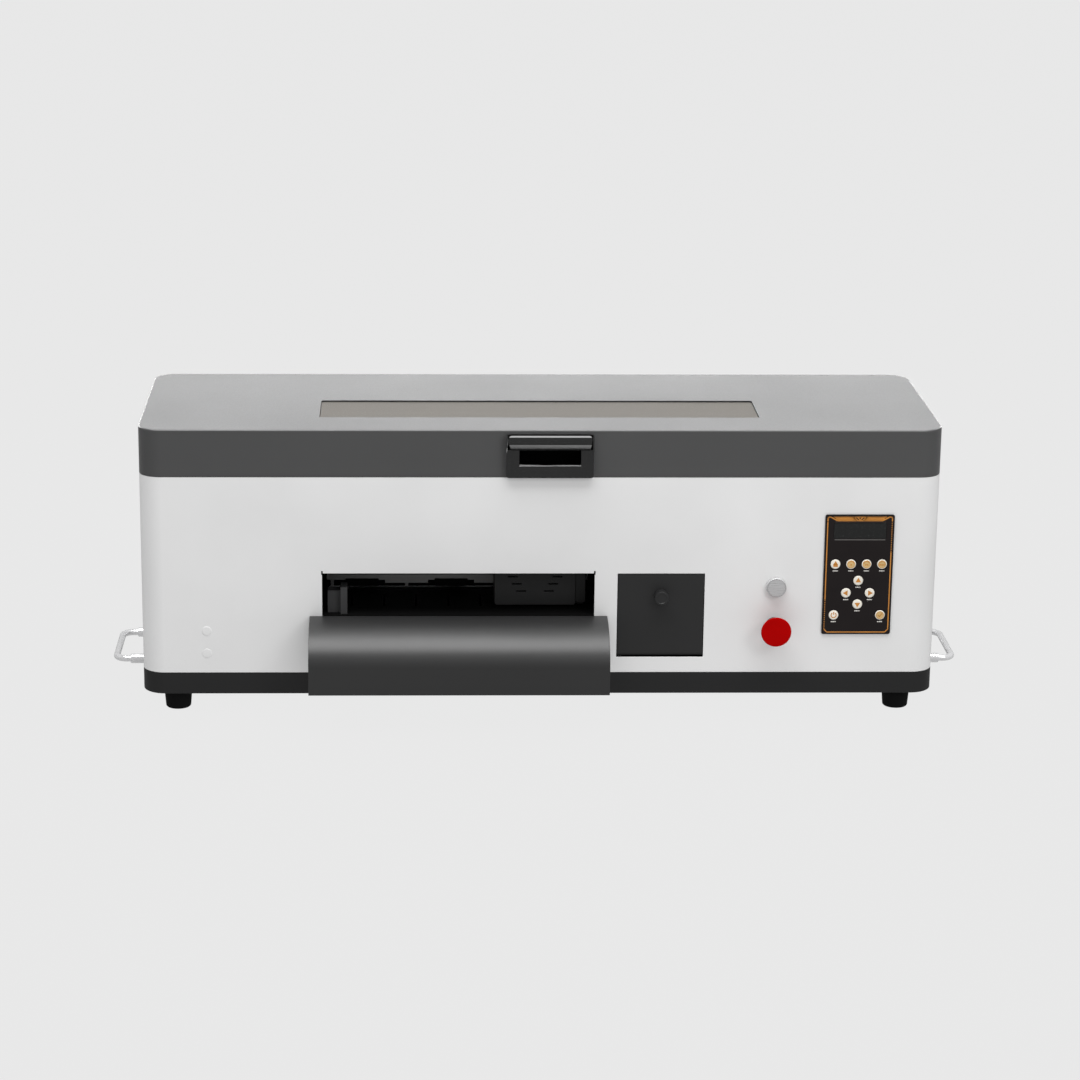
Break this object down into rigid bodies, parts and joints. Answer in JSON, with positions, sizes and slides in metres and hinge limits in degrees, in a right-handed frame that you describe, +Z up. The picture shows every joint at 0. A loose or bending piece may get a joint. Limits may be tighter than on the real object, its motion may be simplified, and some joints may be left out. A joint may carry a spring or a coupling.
{
  "type": "flatbed uv printer",
  "caption": "Desktop UV printer in a long white case: front film slot with curved guide, lidded print carriage, service door, keypad, stop button and carrying handles.",
  "frame": {"origin": "centre of the footprint box, on the floor plane under the feet", "axes": "+Z up, +X to the right seen from the front, the front face with the film slot faces -Y"},
  "size_m": [1.0706, 0.3932, 0.3604],
  "materials": {
    "white_paint": "satin powder coat",
    "rear_paint": "satin powder coat",
    "dark_paint": "fine textured powder coat",
    "lid_plastic": "satin moulded",
    "window_acrylic": "tinted, polished",
    "latch_gloss": "high gloss",
    "guide_steel": "satin black coat",
    "black_plastic": "moulded, fine grain",
    "chrome": "polished",
    "button_steel": "brushed",
    "stop_red": "satin",
    "panel_film": "semi-gloss printed film",
    "screen_glass": "polished",
    "key_cream": "satin",
    "rubber_black": "matt",
    "zinc_steel": "zinc plated",
    "beam_black": "black anodised",
    "rail_steel": "ground",
    "bare_aluminium": "satin",
    "carriage_plastic": "fine grain",
    "head_steel": "satin",
    "tank_plastic": "translucent natural",
    "board_green": "solder mask"
  },
  "bodies": {
    "printer_body": {"base_tray": "dark_paint", "foot_front_left": "rubber_black", "foot_front_right": "rubber_black", "foot_rear_left": "rubber_black", "foot_rear_right": "rubber_black", "main_casing": "white_paint", "rear_panel": "rear_paint", "hinge_base_left": "zinc_steel", "hinge_base_right": "zinc_steel", "film_guide_plate": "guide_steel", "handle_left": "chrome", "handle_right": "chrome", "power_bezel": "button_steel", "stop_collar": "black_plastic", "control_panel": "panel_film", "screen_window": "screen_glass", "side_frame_left": "zinc_steel", "side_frame_right": "zinc_steel", "carriage_beam": "beam_black", "linear_rail": "rail_steel", "timing_belt": "rubber_black", "carriage_motor": "black_plastic", "feed_motor": "black_plastic", "pinch_beam": "beam_black", "platen": "beam_black", "ink_tank": "tank_plastic", "control_board": "board_green", "power_supply": "bare_aluminium", "fan_frame": "black_plastic", "power_inlet": "black_plastic"},
    "lid": {"lid_shell": "lid_plastic", "lid_window": "window_acrylic", "hinge_leaf_left": "zinc_steel", "hinge_leaf_right": "zinc_steel", "latch_housing": "latch_gloss"},
    "latch_lever": {"latch_lever": "latch_gloss"},
    "service_door": {"service_door": "dark_paint", "door_knob": "black_plastic"},
    "power_button": {"power_button": "button_steel"},
    "stop_stem": {"stop_stem": "head_steel"},
    "stop_head": {"stop_head": "stop_red"},
    "print_carriage": {"print_carriage": "carriage_plastic", "print_head": "head_steel", "uv_lamp": "beam_black"},
    "drive_pulley": {"drive_pulley": "bare_aluminium"},
    "idler_pulley": {"idler_pulley": "bare_aluminium"},
    "feed_roller": {"feed_roller": "zinc_steel"},
    "pinch_roller": {"pinch_roller": "rubber_black"},
    "capping_station": {"capping_station": "black_plastic"},
    "fan_rotor": {"fan_rotor": "black_plastic"},
    "key_menu": {"key_menu": "key_cream"},
    "key_one": {"key_one": "key_cream"},
    "key_two": {"key_two": "key_cream"},
    "key_three": {"key_three": "key_cream"},
    "key_up": {"key_up": "key_cream"},
    "key_left": {"key_left": "key_cream"},
    "key_right": {"key_right": "key_cream"},
    "key_down": {"key_down": "key_cream"},
    "key_standby": {"key_standby": "key_cream"},
    "key_confirm": {"key_confirm": "key_cream"}
  },
  "joints": [
    {"name": "lid_hinge", "type": "hinge", "parent": "printer_body", "child": "lid", "pos_m": [0, 0.19215, 0.30145], "axis": [-1, 0, 0], "range_deg": [0, 85]},
    {"name": "latch_lever_hinge", "type": "hinge", "parent": "lid", "child": "latch_lever", "pos_m": [0, -0.12915, 0.3494], "axis": [-1, 0, 0], "range_deg": [0, 18], "stiffness_Nm_per_rad": 0.15, "springref_deg": -5.73},
    {"name": "door_hinge", "type": "hinge", "parent": "printer_body", "child": "service_door", "pos_m": [0, -0.11765, 0.0788], "axis": [1, 0, 0], "range_deg": [0, 90]},
    {"name": "power_button_press", "type": "slide", "parent": "printer_body", "child": "power_button", "axis": [0, 1, 0], "range_m": [0, 0.0014], "stiffness_N_per_m": 1200, "springref_m": -0.001},
    {"name": "stop_press", "type": "slide", "parent": "printer_body", "child": "stop_stem", "axis": [0, 1, 0], "range_m": [0, 0.005], "stiffness_N_per_m": 2000, "springref_m": -0.002},
    {"name": "stop_twist", "type": "hinge", "parent": "stop_stem", "child": "stop_head", "pos_m": [0.2888, -0.14315, 0.1132], "axis": [0, 1, 0], "range_deg": [0, 45], "stiffness_Nm_per_rad": 0.08, "springref_deg": -5.73},
    {"name": "carriage_slide", "type": "slide", "parent": "printer_body", "child": "print_carriage", "axis": [1, 0, 0], "range_m": [-0.257, 0.1535]},
    {"name": "drive_pulley_spin", "type": "hinge", "parent": "printer_body", "child": "drive_pulley", "pos_m": [0.212, -0.02015, 0.23], "axis": [0, -1, 0], "range_deg": [-1700, 1100]},
    {"name": "idler_pulley_spin", "type": "hinge", "parent": "printer_body", "child": "idler_pulley", "pos_m": [-0.312, -0.02015, 0.23], "axis": [0, -1, 0], "range_deg": [-1700, 1100]},
    {"name": "feed_roller_spin", "type": "hinge", "parent": "printer_body", "child": "feed_roller", "pos_m": [0, 0.00185, 0.1153], "axis": [1, 0, 0], "continuous": true},
    {"name": "pinch_roller_spin", "type": "hinge", "parent": "printer_body", "child": "pinch_roller", "pos_m": [0, 0.00185, 0.1336], "axis": [1, 0, 0], "continuous": true},
    {"name": "capping_lift", "type": "slide", "parent": "printer_body", "child": "capping_station", "axis": [0, 0, 1], "range_m": [0, 0.0045]},
    {"name": "fan_spin", "type": "hinge", "parent": "printer_body", "child": "fan_rotor", "pos_m": [0.385, 0.16685, 0.172], "axis": [0, 1, 0], "continuous": true},
    {"name": "key_menu_press", "type": "slide", "parent": "printer_body", "child": "key_menu", "axis": [0, 1, 0], "range_m": [0, 0.001], "stiffness_N_per_m": 600, "springref_m": -0.0005},
    {"name": "key_one_press", "type": "slide", "parent": "printer_body", "child": "key_one", "axis": [0, 1, 0], "range_m": [0, 0.001], "stiffness_N_per_m": 600, "springref_m": -0.0005},
    {"name": "key_two_press", "type": "slide", "parent": "printer_body", "child": "key_two", "axis": [0, 1, 0], "range_m": [0, 0.001], "stiffness_N_per_m": 600, "springref_m": -0.0005},
    {"name": "key_three_press", "type": "slide", "parent": "printer_body", "child": "key_three", "axis": [0, 1, 0], "range_m": [0, 0.001], "stiffness_N_per_m": 600, "springref_m": -0.0005},
    {"name": "key_up_press", "type": "slide", "parent": "printer_body", "child": "key_up", "axis": [0, 1, 0], "range_m": [0, 0.001], "stiffness_N_per_m": 600, "springref_m": -0.0005},
    {"name": "key_left_press", "type": "slide", "parent": "printer_body", "child": "key_left", "axis": [0, 1, 0], "range_m": [0, 0.001], "stiffness_N_per_m": 600, "springref_m": -0.0005},
    {"name": "key_right_press", "type": "slide", "parent": "printer_body", "child": "key_right", "axis": [0, 1, 0], "range_m": [0, 0.001], "stiffness_N_per_m": 600, "springref_m": -0.0005},
    {"name": "key_down_press", "type": "slide", "parent": "printer_body", "child": "key_down", "axis": [0, 1, 0], "range_m": [0, 0.001], "stiffness_N_per_m": 600, "springref_m": -0.0005},
    {"name": "key_standby_press", "type": "slide", "parent": "printer_body", "child": "key_standby", "axis": [0, 1, 0], "range_m": [0, 0.001], "stiffness_N_per_m": 600, "springref_m": -0.0005},
    {"name": "key_confirm_press", "type": "slide", "parent": "printer_body", "child": "key_confirm", "axis": [0, 1, 0], "range_m": [0, 0.001], "stiffness_N_per_m": 600, "springref_m": -0.0005}
  ],
  "couplings": [
    {"joint": "drive_pulley_spin", "follows": "carriage_slide", "rad_per_m": 110.5},
    {"joint": "idler_pulley_spin", "follows": "carriage_slide", "rad_per_m": 110.5},
    {"joint": "pinch_roller_spin", "follows": "feed_roller_spin", "ratio": -1.5714}
  ]
}
